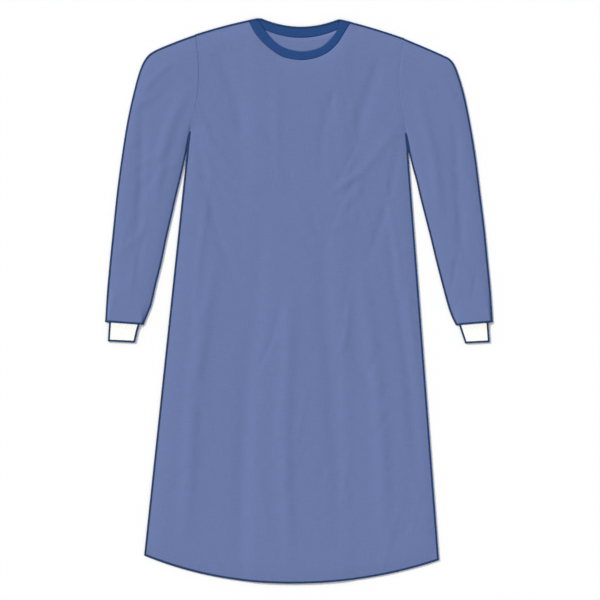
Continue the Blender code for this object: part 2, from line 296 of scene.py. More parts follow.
def lineDistance(x, drop, a, b):
    rx, rd = b[0] - a[0], b[1] - a[1]
    t = clamp(((x - a[0]) * rx + (drop - a[1]) * rd) / (rx * rx + rd * rd))
    return math.hypot(x - a[0] - rx * t, drop - a[1] - rd * t)


def rise(distance, reach):  # 0 at an edge, 1 at the reach
    return 1 - (1 - clamp(distance / reach)) ** gown["edgePower"]


# main creases, one by one: start, end, half width, rise (a trough's is negative), sway
creases = [
    (-190, 520, -268, 1190, 16, 2.6, 9),
    (-95, 430, -128, 1240, 20, -2.3, -7),
    (-18, 600, -30, 1245, 15, 2.4, 8),
    (62, 440, 84, 1215, 20, -2.3, 9),
    (138, 540, 205, 1200, 16, 2.5, -8),
    (205, 420, 268, 1080, 13, -2.0, 6),
    (-228, 248, -95, 405, 11, 1.7, 5),
    (226, 250, 88, 392, 11, 1.5, -5),
    (-172, 70, -128, 270, 14, -1.9, 5),
    (178, 82, 126, 300, 14, -1.9, -5),
    (-262, 150, -330, 430, 12, 2.1, 6),
    (268, 165, 322, 452, 12, 2.1, -6),
    (-345, 190, -372, 560, 10, -1.7, 4),
    (344, 210, 376, 570, 10, -1.7, -4),
    (-205, 330, -230, 700, 9, 1.3, 5),
    (198, 350, 226, 640, 8, 1.3, -5),
    (-60, 140, -35, 380, 11, 1.2, 6),
    (74, 150, 46, 360, 10, -1.1, -5),
    (-240, 262, -140, 610, 10, -1.4, -6),
    (238, 266, 150, 560, 10, -1.4, 6),
    (-290, 96, -352, 170, 8, 1.3, 3),
    (292, 104, 350, 182, 8, 1.3, -3),
]

# smaller ones scattered round them: x from and to, drop from and to, lean, how many
smallCreases = {
    "seed": 11,
    "areas": (
        (-235, -90, 235, 470, 48, 9),
        (90, 235, 235, 470, -48, 9),
        (-150, 150, 130, 480, 12, 12),
        (-290, 260, 620, 1180, -4, 30),
        (-395, -300, 180, 420, -52, 9),
        (300, 395, 180, 420, 52, 9),
        (-415, -330, 430, 620, -20, 7),
        (330, 415, 430, 620, 20, 7),
    ),
    "length": (45, 190),
    "halfWidth": (5, 10),
    "rise": (0.35, 0.95),
    "sway": (-4, 4),
    "leanSpread": 17,
}


def scatterCreases(setup):
    rng = random.Random(setup["seed"])
    rows = []
    for left, right, top, bottom, lean, count in setup["areas"]:
        for _ in range(count):
            x, drop = rng.uniform(left, right), rng.uniform(top, bottom)
            angle = math.radians(lean + rng.gauss(0, setup["leanSpread"]))
            reach = rng.uniform(*setup["length"]) / 2
            aside, down = math.sin(angle) * reach, math.cos(angle) * reach
            width = rng.uniform(*setup["halfWidth"])
            up = rng.uniform(*setup["rise"]) * rng.choice((-1, 1))
            sway = rng.uniform(*setup["sway"])
            rows.append((x - aside, drop - down, x + aside, drop + down, width, up, sway))
    return rows


creaseTable = np.array(creases + scatterCreases(smallCreases)).T
creaseShape = {"swayTurn": 5.0, "endPower": 4}  # how fast a crease sways, how late it dies out


def creaseHeight(x, drop):
    startX, startDrop, endX, endDrop, width, up, sway = creaseTable
    runX, runDrop = endX - startX, endDrop - startDrop
    length = np.hypot(runX, runDrop)
    t = ((x - startX) * runX + (drop - startDrop) * runDrop) / length ** 2
    aside = ((x - startX) * runDrop - (drop - startDrop) * runX) / length
    aside = aside - sway * np.sin(creaseShape["swayTurn"] * t + up)
    fade = np.clip(1 - (2 * t - 1) ** creaseShape["endPower"], 0, None)
    return float(np.sum(up * fade * np.exp(-(aside / width) ** 2)))


seamGathers = {
    "height": 0.22,
    "waves": ((3.7, 1.0, 0.0), (5.9, 0.6, 1.3), (17.0, 0.5, 0.0)),  # length, share and start of each
    "fade": 11.0,
    "flat": 6.0,
}


def pucker(along, distance):  # small gathers that sewing leaves beside a seam
    waves = seamGathers["waves"]
    wave = sum(share * math.sin(along / length + start) for length, share, start in waves)
    height = seamGathers["height"] * wave * math.exp(-distance / seamGathers["fade"])
    return height * ease(distance / seamGathers["flat"])


# neckline
neckFront = {
    # x and drop of the band's outer edge, then of its inner edge
    "rows": (
        (-114, 4.9, -94, 1),
        (-99, 33, -79, 24),
        (-81.5, 54.5, -62, 46),
        (-59, 74, -44, 61),
        (-34, 88.5, -24, 70.5),
        (4, 95, 4, 75.5),
        (36, 90.5, 30, 72.5),
        (63, 79, 53, 64),
        (86, 58.5, 72, 46.5),
        (102, 33.5, 85, 28),
        (117, 8.7, 93, 3.4),
    ),
    "steps": 60,
    "across": 10,
    "inset": 0.3,  # from the front's edge
    "lift": 0.75,  # its middle over the layers below
    "crown": 0.8,
    "crownPower": 0.5,
    "thickness": 1.4,
}
neckBack = {
    "centre": 4.5,
    "top": (19.9, 22.0, 96.5),  # lowest drop, rise, half width
    "foot": (44.8, 18.8, 83.0),
    "rightEnd": -115.5,
    "leftEnd": 118.8,
    "steps": 56,
    "across": 6,
    "gap": 0.3,  # from the back panel's edge
    "thickness": 1.1,
}
neckLine = [
    smoothRow(neckFront["rows"], place)
    for place in steps(0, len(neckFront["rows"]) - 1, neckFront["steps"])
]


def bowlDrop(bowl, x):
    low, up, reach = bowl
    return low - up * ((x - neckBack["centre"]) / reach) ** 2


def frontTop(x):
    for a, b in zip(neckLine, neckLine[1:]):
        if a[0] <= x <= b[0]:
            return mix(a[1], b[1], (x - a[0]) / (b[0] - a[0]))
    return shoulders(x)


def backTop(x):
    return max(shoulders(x), bowlDrop(neckBack["foot"], x))


def neckDistance(x, drop):
    rows = neckFront["rows"]
    return min(lineDistance(x, drop, a[:2], b[:2]) for a, b in zip(rows, rows[1:]))


# heights of the layers' undersides
seam = {
    "halfWidth": 2.3,  # of the overlocked edge
    "square": 0.7,  # its section: 1 is an oval, less is squarer
    "leastHalf": 0.3,  # half its height at the least
    "proud": 0.55,  # how far it stands over the cloth
    "clear": 0.37,  # room for the thread below it
    "slack": 0.15,  # how far a hem or the neck's top edge reaches below its cloth
    "past": 0.4,  # how far it wraps round the cloth's raw edge
    "sides": 12,
    "spacing": 4.0,  # between points along an edge
    "thread": 0.2,  # radius
    "threadOut": 0.6,  # how far outside the roll its centre lies, in radii
    "pitch": 2.6,  # from one turn of thread to the next
    "turnPoints": 8,
    "closed": 34.0,  # distance below an armpit over which two edges touch
    "opens": 20.0,  # and then part
    "bandProud": 0.5,  # how much higher over the neck band
    "bandEnd": 114.0,
    "bandFade": 9.0,
    "overArm": 2.8,  # inset along the fold over an arm
    "sleeveMouth": (0.7, 0.85),  # half its height and its lowest centre
    "cuffEnd": (0.9, 0.95),
    "columnStep": 0.2,  # part of a row over which a tube's columns are followed up from its end
}
seamInset = seam["halfWidth"] + seam["thread"] - seam["past"]
seamWidth = 2 * seamInset + seam["past"]


def frontLoft(x, drop):
    reach = gown["edgeRise"]
    toHem = hemDrop(x) - drop
    toSide = min(lineDistance(x, drop, h["armpit"], h["corner"]) for h in halves)
    toShoulder = min(lineDistance(x, drop, h["neck"], h["shoulder"]) for h in halves)
    up = 1.0
    for distance in (toHem, toSide, toShoulder):
        up *= rise(distance - seamWidth, reach)
    wide, deep = gown["neckReach"]
    if drop < deep and abs(x) < wide:
        up *= rise(neckDistance(x, drop), reach)
    loft = (gown["loft"] + creaseHeight(x, drop)) * up
    return loft + pucker(drop, toSide) + pucker(x, toHem) + pucker(x, toShoulder)


def frontUnder(x, drop):
    return gown["layer"] * (1 + lap(x)) + max(frontLoft(x, drop), 0.0)


def innerBackUnder(x):
    return gown["layer"] if x > 0 else gown["layer"] * lap(x)


def seamTop(x, drop):
    return gown["layer"] * (1 + lap(x)) + gown["wall"] + seam["proud"]


def shoulderTop(x, drop):  # higher over the ends of the front neck band
    onBand = 1 - ease((abs(x) - seam["bandEnd"]) / seam["bandFade"])
    return seamTop(x, drop) + seam["bandProud"] * onBand


# making meshes
def addPiece(name, bm, material, slot):
    mesh = bpy.data.meshes.new(name)
    bm.to_mesh(mesh)
    bm.free()
    mesh.shade_smooth()
    mesh.materials.append(material)
    piece = bpy.data.objects.new(name, mesh)
    bpy.context.scene.collection.objects.link(piece)
    if slot:
        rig.ride(piece, bodyName)
        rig.slot(piece, slot)
    return piece


def gridMesh(rows, grain, closed=False):
    # a grid laid through rows of points; a closed one is rolled into a tube
    across = len(rows[0]) if closed else len(rows[0]) - 1
    bm = bmesh.new()
    bmesh.ops.create_grid(bm, x_segments=across, y_segments=len(rows) - 1, size=1)
    points = [point for row in rows for point in (row + row[:1] if closed else row)]
    for vert, point in zip(bm.verts, points):
        vert.co = point
    bm.verts.index_update()
    layer = bm.loops.layers.uv.new("grain")
    for face in bm.faces:
        for loop in face.loops:
            row, column = divmod(loop.vert.index, across + 1)
            loop[layer].uv = grain[row][column]
    if closed:
        bmesh.ops.remove_doubles(bm, verts=bm.verts, dist=1e-6)
    bmesh.ops.recalc_face_normals(bm, faces=bm.faces)
    return bm


def giveWall(piece, thickness):
    wall = piece.modifiers.new("wall", "SOLIDIFY")
    wall.thickness = thickness * mm
    wall.offset = 0.0


# materials
sheenRoughness = 0.5  # of cloth, knit and thread


def hexColour(code):
    channels = [int(code[k:k + 2], 16) / 255 for k in (0, 2, 4)]
    linear = [c / 12.92 if c <= 0.04045 else ((c + 0.055) / 1.055) ** 2.4 for c in channels]
    return (*linear, 1.0)


def addNode(material, kind, settings=None, links=None):
    node = material.node_tree.nodes.new(kind)
    for name, value in (settings or {}).items():
        if isinstance(name, int) or name in node.inputs:
            node.inputs[name].default_value = value
        else:
            setattr(node, name, value)
    for name, source in (links or {}).items():
        material.node_tree.links.new(source, node.inputs[name])
    return node


def startMaterial(name, look):
    material = bpy.data.materials.new(name)
    material.use_nodes = True
    shader = material.node_tree.nodes["Principled BSDF"]
    shader.inputs["Base Color"].default_value = hexColour(look["colour"])
    shader.inputs["Roughness"].default_value = look["roughness"]
    shader.inputs["Specular IOR Level"].default_value = look["gloss"]
    shader.inputs["Sheen Weight"].default_value = look["sheen"]
    shader.inputs["Sheen Roughness"].default_value = sheenRoughness
    shader.inputs["Sheen Tint"].default_value = hexColour(look["colour"])
    return material, shader


def bandScale(period):  # scale at which a wave texture repeats each so many millimetres
    return math.pi / (10 * period * mm)


wovenLook = {
    "colour": "6574A0",  # slate blue
    "deep": "62719C",
    "pale": "6877A4",
    "roughness": 0.85,
    "gloss": 0.15,
    "sheen": 0.04,
    "thread": 0.9,  # real threads are 0.35 mm apart, too fine to show even in a close view
    "slubWide": 1.3,  # thick places in a thread, drawn wider than the real 0.4 mm to show
    "slubLong": 26.0,
}
bindingLook = {
    "colour": "24467C",  # navy
    "deep": "224377",
    "pale": "264981",
    "roughness": 0.85,
    "gloss": 0.12,
    "sheen": 0.02,
    "thread": 0.8,
    "slubWide": 1.6,
    "slubLong": 20.0,
}
edgeLook = {**bindingLook, "colour": "243C68", "deep": "22395F", "pale": "27426E"}
knitLook = {
    "colour": "FAFBF6",
    "roughness": 0.95,
    "gloss": 0.15,
    "sheen": 0.15,
    "stitch": 1.5,  # rows of knitting
    "fuzz": 1.2,
}
threadLook = {"roughness": 0.6, "gloss": 0.3, "sheen": 0.1, "ply": 0.5}
threadColours = {"navy": "223A66", "blue": "5B6A98", "binding": "335590"}


def wovenCloth(name, look):
    # plain-woven polyester and cotton: matt and even, with a fine grid of threads and faint slubs
    material, shader = startMaterial(name, look)
    grain = addNode(material, "ShaderNodeUVMap", {"uv_map": "grain"}).outputs["UV"]
    threads, slubs = [], []
    for direction, stretch in (
        ("X", (look["slubWide"], look["slubLong"])), ("Y", (look["slubLong"], look["slubWide"])),
    ):
        threads.append(addNode(
            material, "ShaderNodeTexWave",
            {"Scale": bandScale(look["thread"]), "bands_direction": direction, "Distortion": 0.4},
            {"Vector": grain},
        ).outputs["Fac"])
        scale = [1 / (size * mm) for size in stretch]
        turned = addNode(
            material, "ShaderNodeMapping", {"Scale": (*scale, 1.0)}, {"Vector": grain}
        ).outputs["Vector"]
        slubs.append(addNode(
            material, "ShaderNodeTexNoise", {"Scale": 1.0, "Detail": 2.0}, {"Vector": turned}
        ).outputs["Fac"])
    weave = addNode(
        material, "ShaderNodeMath", {"operation": "MAXIMUM"}, {0: threads[0], 1: threads[1]}
    ).outputs["Value"]
    slub = addNode(
        material, "ShaderNodeMath", {"operation": "ADD"}, {0: slubs[0], 1: slubs[1]}
    ).outputs["Value"]
    shade = addNode(
        material, "ShaderNodeMath", {"operation": "MULTIPLY_ADD", 1: 0.12}, {0: weave, 2: slub}
    ).outputs["Value"]
    ramp = addNode(
        material, "ShaderNodeMapRange", {"From Min": 0.8, "From Max": 1.35}, {"Value": shade}
    )
    colour = addNode(
        material, "ShaderNodeMix",
        {"data_type": "RGBA", 6: hexColour(look["deep"]), 7: hexColour(look["pale"])},
        {0: ramp.outputs["Result"]},
    ).outputs[2]
    fine = addNode(
        material, "ShaderNodeBump", {"Strength": 0.3, "Distance": 0.00012}, {"Height": weave}
    ).outputs["Normal"]
    soft = addNode(
        material, "ShaderNodeBump", {"Strength": 0.15, "Distance": 0.0002},
        {"Height": slub, "Normal": fine},
    ).outputs["Normal"]
    material.node_tree.links.new(colour, shader.inputs["Base Color"])
    material.node_tree.links.new(soft, shader.inputs["Normal"])
    return material


def knitCloth(name, look):
    # cotton rib knit: white, soft and dull, with rows of small loops across the modelled ribs
    material, shader = startMaterial(name, look)
    grain = addNode(material, "ShaderNodeUVMap", {"uv_map": "grain"}).outputs["UV"]
    loops = addNode(
        material, "ShaderNodeTexWave",
        {"Scale": bandScale(look["stitch"]), "bands_direction": "Y", "Distortion": 1.0},
        {"Vector": grain},
    ).outputs["Fac"]
    fuzz = addNode(
        material, "ShaderNodeTexNoise", {"Scale": 1 / (look["fuzz"] * mm), "Detail": 3.0},
        {"Vector": grain},
    ).outputs["Fac"]
    height = addNode(
        material, "ShaderNodeMath", {"operation": "MULTIPLY_ADD", 1: 0.6}, {0: fuzz, 2: loops}
    ).outputs["Value"]
    bump = addNode(
        material, "ShaderNodeBump", {"Strength": 0.4, "Distance": 0.00025}, {"Height": height}
    ).outputs["Normal"]
    material.node_tree.links.new(bump, shader.inputs["Normal"])
    return material


def sewingThread(name, colour, look):
    # spun polyester thread: a slight lustre and a twist of plies
    material, shader = startMaterial(name, {**look, "colour": colour})
    place = addNode(material, "ShaderNodeTexCoord").outputs["Object"]
    ply = addNode(
        material, "ShaderNodeTexWave",
        {"Scale": bandScale(look["ply"]), "bands_direction": "DIAGONAL", "Distortion": 1.0},
        {"Vector": place},
    ).outputs["Fac"]
    bump = addNode(
        material, "ShaderNodeBump", {"Strength": 0.3, "Distance": 0.0001}, {"Height": ply}
    ).outputs["Normal"]
    material.node_tree.links.new(bump, shader.inputs["Normal"])
    return material


bodyCloth = wovenCloth("wovenPolycotton", wovenLook)
bandCloth = wovenCloth("wovenBinding", bindingLook)
edgeCloth = wovenCloth("overlockedEdge", edgeLook)
cuffKnit = knitCloth("cottonRibKnit", knitLook)
navyThread = sewingThread("navyThread", threadColours["navy"], threadLook)
blueThread = sewingThread("blueThread", threadColours["blue"], threadLook)
bindingThread = sewingThread("bindingThread", threadColours["binding"], threadLook)
print("materials made")

# body panels
panels = {
    "frontRows": (50, 190),  # above and below the armpits
    "backRows": (24, 84),
    "frontSide": 32,  # columns between a side seam and the doubled part
    "backSide": 14,
    "backStep": 7.0,
    # columns from each end of the neckline out to the doubled part's side
    "besideNeck": {"frontRight": 5, "frontLeft": 4, "backRight": 4, "backLeft": 3},
    "bunch": 1.4,  # how much closer the columns are at a side seam
    "guesses": (37.0, 256.0, 1209.0),  # drops near a column's top, armpit line and hem
    "tries": 8,
}
clothFlats = {
    # width and length of each finished piece in metres, then its area
    "frontPanel": (0.664, 1.272, 0.68),
    "backPanelRight": (0.440, 1.268, 0.47),
    "backPanelLeft": (0.407, 1.264, 0.445),
    "sleeveRight": (0.42, 0.73, 0.162),
    "sleeveLeft": (0.42, 0.73, 0.16),
    "cuffRight": (0.13, 0.058, 0.0074),
    "cuffLeft": (0.13, 0.058, 0.0074),
    "neckBandFront": (0.022, 0.32, 0.0059),
    "neckBandBackRight": (0.023, 0.21, 0.0048),
    "neckBandBackLeft": (0.023, 0.21, 0.0048),
}


def panelRows(columns, rowCounts, top, height):
    above, below = rowCounts
    nearTop, nearArmpit, nearHem = panels["guesses"]
    lines = []
    for column in columns:
        start = nearTop
        for _ in range(panels["tries"]):  # the column leans, so its top is found in a few tries
            start = top(column(start))
        middle = armpitDrop(column(nearArmpit))
        end = hemDrop(column(nearHem))
        drops = steps(start, middle, above)[:-1] + steps(middle, end, below)
        lines.append([(column(drop), drop) for drop in drops])
    places = [list(row) for row in zip(*lines)]
    rows = [[world(x, drop, height(x, drop)) for x, drop in row] for row in places]
    grain = [[(x * mm, -drop * mm) for x, drop in row] for row in places]
    return rows, grain


def sideColumns(half, innerX, count):  # closer together towards the seam
    shares = [(k / count) ** panels["bunch"] for k in range(count)]
    return [lambda drop, share=share: mix(sideX(half, drop), innerX, share) for share in shares]


def fixedColumns(places):
    return [lambda drop, x=x: x for x in places]


def makePanel(name, node, columns, rowCounts, top, height):
    rows, grain = panelRows(columns, rowCounts, top, height)
    panel = addPiece(name, gridMesh(rows, grain), bodyCloth, "body_cloth")
    giveWall(panel, gown["cloth"])
    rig.replaces(panel, node)
    return panel


def makeBody():
    lapEnd = gown["lapStart"] + gown["lapRise"]
    edge = gown["freeEdge"]
    middle = gown["wall"] / 2
    count = round((lapEnd + edge) / panels["backStep"])
    beside = panels["besideNeck"]
    right = steps(-lapEnd, neckBack["rightEnd"], beside["backRight"])[:-1]
    right += steps(neckBack["rightEnd"], edge, count)
    left = steps(-edge, neckBack["leftEnd"], count)[:-1]
    left += steps(neckBack["leftEnd"], lapEnd, beside["backLeft"])
    makePanel(
        "backPanelRight", "back_right",
        sideColumns(rightHalf, -lapEnd, panels["backSide"]) + fixedColumns(right),
        panels["backRows"], backTop, lambda x, drop: innerBackUnder(x) + middle,
    )
    makePanel(
        "backPanelLeft", "back_left",
        fixedColumns(left) + sideColumns(leftHalf, lapEnd, panels["backSide"])[::-1],
        panels["backRows"], backTop, lambda x, drop: middle,
    )
    neckX = [row[0] for row in neckLine]
    places = steps(-lapEnd, neckX[0], beside["frontRight"])[:-1] + neckX
    places += steps(neckX[-1], lapEnd, beside["frontLeft"])[1:]
    columns = sideColumns(rightHalf, -lapEnd, panels["frontSide"]) + fixedColumns(places)
    columns += sideColumns(leftHalf, lapEnd, panels["frontSide"])[::-1]
    return makePanel(
        "frontPanel", "front", columns, panels["frontRows"], frontTop,
        lambda x, drop: frontUnder(x, drop) + middle,
    )


frontPanel = makeBody()
print("body panels made")

# sleeves
sleeveRows = {
    # x and drop of the edge over the arm, then of the edge under it
    "right": (
        (-233, 37, -247.3, 255),
        (-282, 55, -250.9, 282),
        (-325, 73.5, -255.6, 312),
        (-344, 89, -261.4, 339),
        (-358.5, 118, -267.5, 366),
        (-373.4, 172, -276.8, 404),
        (-387, 235, -287, 449),
        (-398.5, 307, -298, 496),
        (-409.5, 388, -309, 550),
        (-418.6, 474, -322, 602),
        (-426.8, 555, -331, 642),
        (-432.5, 618, -340, 666),
        (-436.5, 683.8, -349.5, 690),
    ),
    "left": (
        (237, 46, 242, 258),
        (280, 64, 245.2, 285),
        (321, 82, 250.1, 314),
        (341, 93, 256.6, 341),
        (354, 114, 264.2, 368),
        (371, 168, 273, 406),
        (384.2, 231, 284.5, 451),
        (397, 307, 296, 496),
        (407.3, 388, 309, 550),
        (418, 474, 322, 600),
        (426, 555, 335, 648),
        (432, 618, 344, 673),
        (436.5, 684.3, 353, 691),
    ),
}
sleeve = {
    "stations": 150,
    "across": 44,  # points across its upper side
    "bunch": 0.6,  # how much closer they are at both edges
    "under": 12,
    "lip": 3.0,
    "fold": ((1.3, 0.15), (0.7, 0.5), (1.3, 0.85)),  # round an edge: distance in, share of the height
    "bowRows": 2,  # over which the armhole's curve dies out down the sleeve
    "besideBody": 4,  # rows that lie beside the body's edge
    "gatherStretch": 1.1,  # so that the gathers at its two edges differ
    "mouthStart": 10.0,  # row from which it opens up to take the cuff
    "mouthFull": 11.7,
    "mouthLoft": 1.15,
    "mouthRise": 5.0,
}
lastRow = len(sleeveRows["right"]) - 1


def rowWidth(row):
    return math.hypot(row[2] - row[0], row[3] - row[1])


def onRow(row, distance):
    t = distance / rowWidth(row)
    return mix(row[0], row[2], t), mix(row[1], row[3], t)


def sleeveLoft(row, distance, place):
    mouth = ease((place - sleeve["mouthStart"]) / (sleeve["mouthFull"] - sleeve["mouthStart"]))
    reach = mix(gown["edgeRise"], sleeve["mouthRise"], mouth)
    x, drop = onRow(row, distance)
    across = rowWidth(row) - distance
    full = gown["loft"] + sleeve["mouthLoft"] * mouth + creaseHeight(x, drop) * (1 - mouth)
    up = full * rise(distance - seamWidth, reach) * rise(across - seamWidth, reach)
    gathers = pucker(drop, distance) + pucker(drop * sleeve["gatherStretch"], across)
    return max(up + gathers * (1 - mouth), 0.0)


def sleeveRing(row, place):  # the upper side from the edge over the arm, then the lower side
    width, lip = rowWidth(row), sleeve["lip"]
    low = gown["wall"] / 2
    top = low + gown["layer"]
    fold = [(distance, mix(low, top, share)) for distance, share in sleeve["fold"]]
    ring = fold[1:]
    for share in steps(0, 1, sleeve["across"]):
        closer = (1 - math.cos(math.pi * share)) / 2
        distance = mix(lip, width - lip, mix(share, closer, sleeve["bunch"]))
        ring.append((distance, top + sleeveLoft(row, distance, place)))
    ring += [(width - distance, z) for distance, z in fold[::-1]]
    ring += [(distance, low) for distance in steps(width - lip, lip, sleeve["under"])]
    return ring + fold[:1]


def sleeveHalf(side):
    return rightHalf if side == "right" else leftHalf


def makeSleeve(side):
    table = sleeveRows[side]
    rows, grain = [], []
    travelled, before = 0.0, None
    for place in steps(0, lastRow, sleeve["stations"]):
        row = smoothRow(table, place)
        fade = max(1 - place / sleeve["bowRows"], 0.0) ** 2
        width = rowWidth(row)
        centre = onRow(row, width / 2)
        travelled += math.dist(centre, before or centre)
        before = centre
        points, uvs = [], []
        for distance, z in sleeveRing(row, place):
            x, drop = onRow(row, distance)
            x += armholeBow(sleeveHalf(side), distance / width) * fade
            points.append(world(x, drop, z))
            uvs.append((distance * mm, -travelled * mm))
        rows.append(points)
        grain.append(uvs + uvs[:1])
    name = "sleeve" + side.capitalize()
    piece = addPiece(name, gridMesh(rows, grain, closed=True), bodyCloth, "body_cloth")
    giveWall(piece, gown["cloth"])
    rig.replaces(piece, "sleeve_" + side)


for side in sleeveRows:
    makeSleeve(side)
print("sleeves made")

# cuffs
cuffRows = {
    "right": (
        (-426.3, 674, -356, 678),
        (-427.2, 688.5, -359.6, 693),
        (-428, 700, -363, 704),
        (-429.5, 723, -368, 726),
        (-429.8, 727.4, -369.2, 730.2),
    ),
    "left": (
        (425, 672, 357.2, 679),
        (425.9, 687.5, 361.2, 694.5),
        (426.7, 699, 364.7, 705),
        (428.4, 722.5, 371.9, 726.5),
        (428.9, 729.3, 373.8, 732),
    ),
}
cuff = {
    "height": 3.3,
    "ribs": 21,  # across one side, so 3 mm apart
    "ribDepth": 0.5,
    "ribPower": 0.6,  # less gives fuller ribs
    "sidePower": 8,  # more gives squarer side edges
    "perRib": 6,
    "flatEnd": 0.8,  # last part of a row, under its overlocked end, where the ribs die out
    "stations": 30,
    "liftEnd": 14.0,  # past the sleeve's mouth it comes down from the sleeve's lower side
    "margin": 0.6,
    "wall": 0.8,
    "edgeStart": 0.7,  # row, inside the sleeve, where its side edges begin
    "edgeProud": 0.5,
}


def cuffLevel(t, ribDepth):  # half height of the knit tube at a share of its width
    rib = abs(math.sin(math.pi * cuff["ribs"] * t)) ** cuff["ribPower"]
    edge = math.sqrt(max(1 - (2 * t - 1) ** cuff["sidePower"], 0.0))
    return (cuff["height"] / 2 - cuff["wall"] / 2 - ribDepth * (1 - rib)) * edge


def cuffRing(row, count, ribDepth):
    margin = cuff["margin"]
    upper = [
        (mix(margin, rowWidth(row) - margin, t), cuffLevel(t, ribDepth)) for t in steps(0, 1, count)
    ]
    lower = [(distance, -level) for distance, level in upper[-2:0:-1]]
    return [(distance, level + cuff["height"] / 2) for distance, level in upper + lower]


def cuffLift(side, x, drop):
    overX, overDrop, underX, underDrop = sleeveRows[side][-1]
    mouth = mix(overDrop, underDrop, (x - overX) / (underX - overX))
    return gown["layer"] * (1 - ease((drop - mouth) / cuff["liftEnd"]))


def makeCuff(side):
    table = cuffRows[side]
    rows, grain = [], []
    last = len(table) - 1
    for place in steps(0, last, cuff["stations"]):
        row = smoothRow(table, place)
        points, uvs = [], []
        ribDepth = cuff["ribDepth"] * clamp((last - place) / cuff["flatEnd"])
        for distance, z in cuffRing(row, cuff["ribs"] * cuff["perRib"], ribDepth):
            x, drop = onRow(row, distance)
            points.append(world(x, drop, z + cuffLift(side, x, drop)))
            uvs.append((distance * mm, -drop * mm))
        rows.append(points)
        grain.append(uvs + uvs[:1])
    name = "cuff" + side.capitalize()
    piece = addPiece(name, gridMesh(rows, grain, closed=True), cuffKnit, "cuff_knit")
    giveWall(piece, cuff["wall"])
    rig.replaces(piece, "cuff_" + side)


for side in cuffRows:
    makeCuff(side)
print("cuffs made")


# neck bands
def makeFrontBand():
    rows, grain = [], []
    for t in steps(0, 1, neckFront["across"]):
        crown = neckFront["crown"] * math.sin(math.pi * t) ** neckFront["crownPower"]
        points, uvs = [], []
        for row in neckLine:
            x, drop = onRow(row, mix(neckFront["inset"], rowWidth(row), t))
            z = gown["layer"] * (1 + lap(x)) + neckFront["lift"] + crown / 2
            points.append(world(x, drop, z))
            uvs.append((x * mm, -drop * mm))
        rows.append(points)
        grain.append(uvs)
    band = addPiece("neckBandFront", gridMesh(rows, grain), bandCloth, "neck_band_cloth")
    giveWall(band, neckFront["thickness"])
    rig.replaces(band, "neck_band_front")
    return band


def backBandPlace(footX, topX, t):
    foot = bowlDrop(neckBack["foot"], footX) - neckBack["gap"]
    top = max(bowlDrop(neckBack["top"], topX), neckLevel(topX))
    return mix(footX, topX, t), mix(foot, top, t)


def makeBackBand(name, node, footEnds, topEnds, under):
    rows, grain = [], []
    for t in steps(0, 1, neckBack["across"]):
        points, uvs = [], []
        for share in steps(0, 1, neckBack["steps"]):
            x, drop = backBandPlace(mix(*footEnds, share), mix(*topEnds, share), t)
            points.append(world(x, drop, under(x) + gown["wall"] / 2))
            uvs.append((x * mm, -drop * mm))
        rows.append(points)
        grain.append(uvs)
    band = addPiece(name, gridMesh(rows, grain), bandCloth, "neck_band_cloth")
    giveWall(band, neckBack["thickness"])
    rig.replaces(band, node)
    return band


frontBand = makeFrontBand()
rightBandEnds = (
    (neckBack["rightEnd"], gown["freeEdge"]), (rightHalf["neck"][0], gown["freeEdge"]),
)
leftBandEnds = (
    (-gown["freeEdge"], neckBack["leftEnd"]), (-gown["freeEdge"], leftHalf["neck"][0]),
)
backBand = makeBackBand("neckBandBackRight", "neck_band_back_right", *rightBandEnds, innerBackUnder)
makeBackBand("neckBandBackLeft", "neck_band_back_left", *leftBandEnds, lambda x: 0.0)
print("neck bands made")


# overlocked edges: the seam's raw edge as a soft roll, with one thread wound along it
samples = {  # points taken along each edge, before they are spaced evenly
    "side": 240, "shoulder": 40, "hem": 120, "neck": 60, "sleeve": 160, "armpit": 32, "cuff": 20,
    "cuffEnd": 40,
}
clothSides = {  # x and drop of a place on the cloth's side of each edge, at the wearer's left
    "body": (0, 700), "hem": (0, 0), "overArm": (250, 600), "underArm": (450, 100), "cuff": (395, 700),
}


def clothSide(edge, sign=1):
    x, drop = clothSides[edge]
    return sign * x, drop


def walk(lengths, targets):  # the stretch that each distance falls in, and how far along it
    index, done = 0, 0.0
    for target in targets:
        while index < len(lengths) - 1 and done + lengths[index] < target:
            done += lengths[index]
            index += 1
        yield index, clamp((target - done) / lengths[index])


def evenly(line, spacing):
    # the same line with points a set distance apart
    points = [Vector((x, drop)) for x, drop in line]
    lengths = [(b - a).length for a, b in zip(points, points[1:])]
    total = sum(lengths)
    count = max(round(total / spacing), 2)
    targets = [total * k / count for k in range(count + 1)]
    return [tuple(points[index].lerp(points[index + 1], t)) for index, t in walk(lengths, targets)]


def runsOf(points, closed):  # the direction of a line at each of its points
    count = len(points)
    if closed:
        pairs = [(k - 1, (k + 1) % count) for k in range(count)]
    else:
        pairs = [(max(k - 1, 0), min(k + 1, count - 1)) for k in range(count)]
    return [(points[after] - points[before]).normalized() for before, after in pairs]


def edgePath(line, towards, top, low, inset=seamInset):
    # centre line of the roll along an edge; towards is a point on its cloth's side
    places = evenly(line, seam["spacing"])
    flat = [Vector((x, drop, 0)) for x, drop in places]
    path = {"points": [], "sides": [], "halfHeights": [], "closed": False}
    for point, run in zip(flat, runsOf(flat, False)):
        across = Vector((run.y, -run.x, 0))
        if across.dot(Vector((*towards, 0)) - point) < 0:
            across = -across
        x, drop, _ = point + across * inset
        bottom = low(x, drop) + seam["clear"]
        path["halfHeights"].append(max((top(x, drop) - bottom) / 2, seam["leastHalf"]))
        path["points"].append(world(x, drop, (top(x, drop) + bottom) / 2))
        path["sides"].append(Vector((across.x, -across.y, 0)))
    return path


